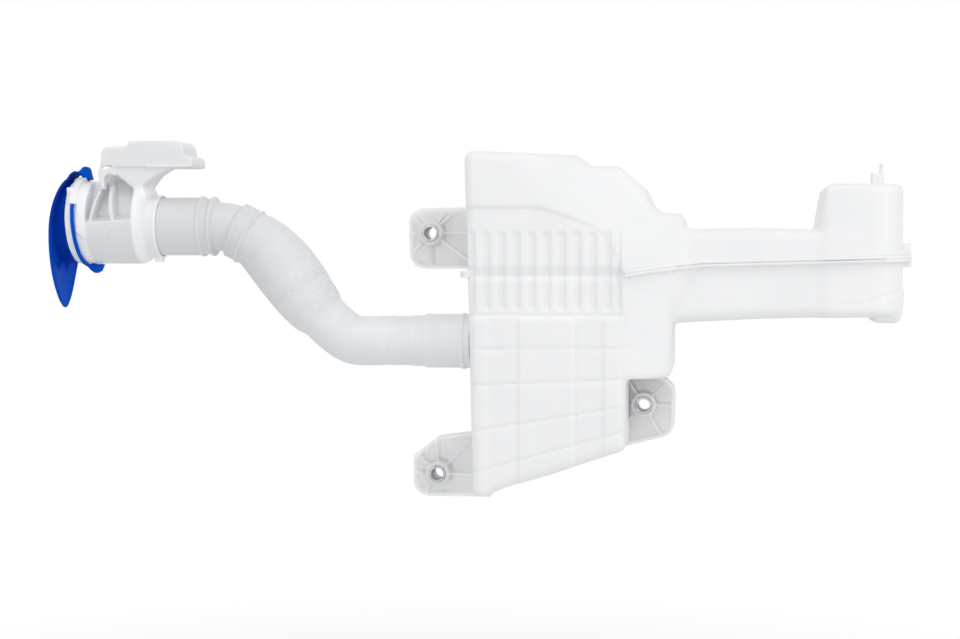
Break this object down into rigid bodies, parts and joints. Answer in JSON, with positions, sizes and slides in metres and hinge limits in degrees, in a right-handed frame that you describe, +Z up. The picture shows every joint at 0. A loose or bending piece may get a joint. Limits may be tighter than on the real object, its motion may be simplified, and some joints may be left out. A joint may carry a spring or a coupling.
{
  "type": "washer fluid reservoir",
  "caption": "Vehicle washer fluid tank with bushed mounting lugs, a long arm with a pump block, a bellows filler hose and a filler head with a hinged cap.",
  "frame": {"origin": "axis of the upper left bush, in the plane of its rear face, which meets the vehicle body", "axes": "+X from the filler towards the pump block, +Y towards the vehicle body, +Z up"},
  "size_m": [0.6014, 0.124, 0.25],
  "materials": {
    "tank_plastic": "natural translucent polyethylene, soft satin",
    "hose_plastic": "natural polyethylene, satin",
    "head_plastic": "natural polypropylene, satin",
    "cap_plastic": "blue polypropylene, semi gloss",
    "bush_steel": "zinc plated",
    "seal_rubber": "matt"
  },
  "bodies": {
    "reservoir": {"upper_shell": "tank_plastic", "lower_shell": "tank_plastic", "bush_upper_left": "bush_steel", "bush_lower_left": "bush_steel", "bush_lower_right": "bush_steel", "inlet_pipe": "tank_plastic", "inlet_seal": "seal_rubber", "pump_grommet": "seal_rubber", "filler_hose": "hose_plastic", "filler_head": "head_plastic", "cap_retaining_ring": "cap_plastic"},
    "cap": {"cap_lid": "cap_plastic"}
  },
  "joints": [
    {"name": "cap_hinge", "type": "hinge", "parent": "reservoir", "child": "cap", "pos_m": [-0.2572, -0.019, 0.0436], "axis": [0, 1, 0], "range_deg": [0, 115]}
  ]
}
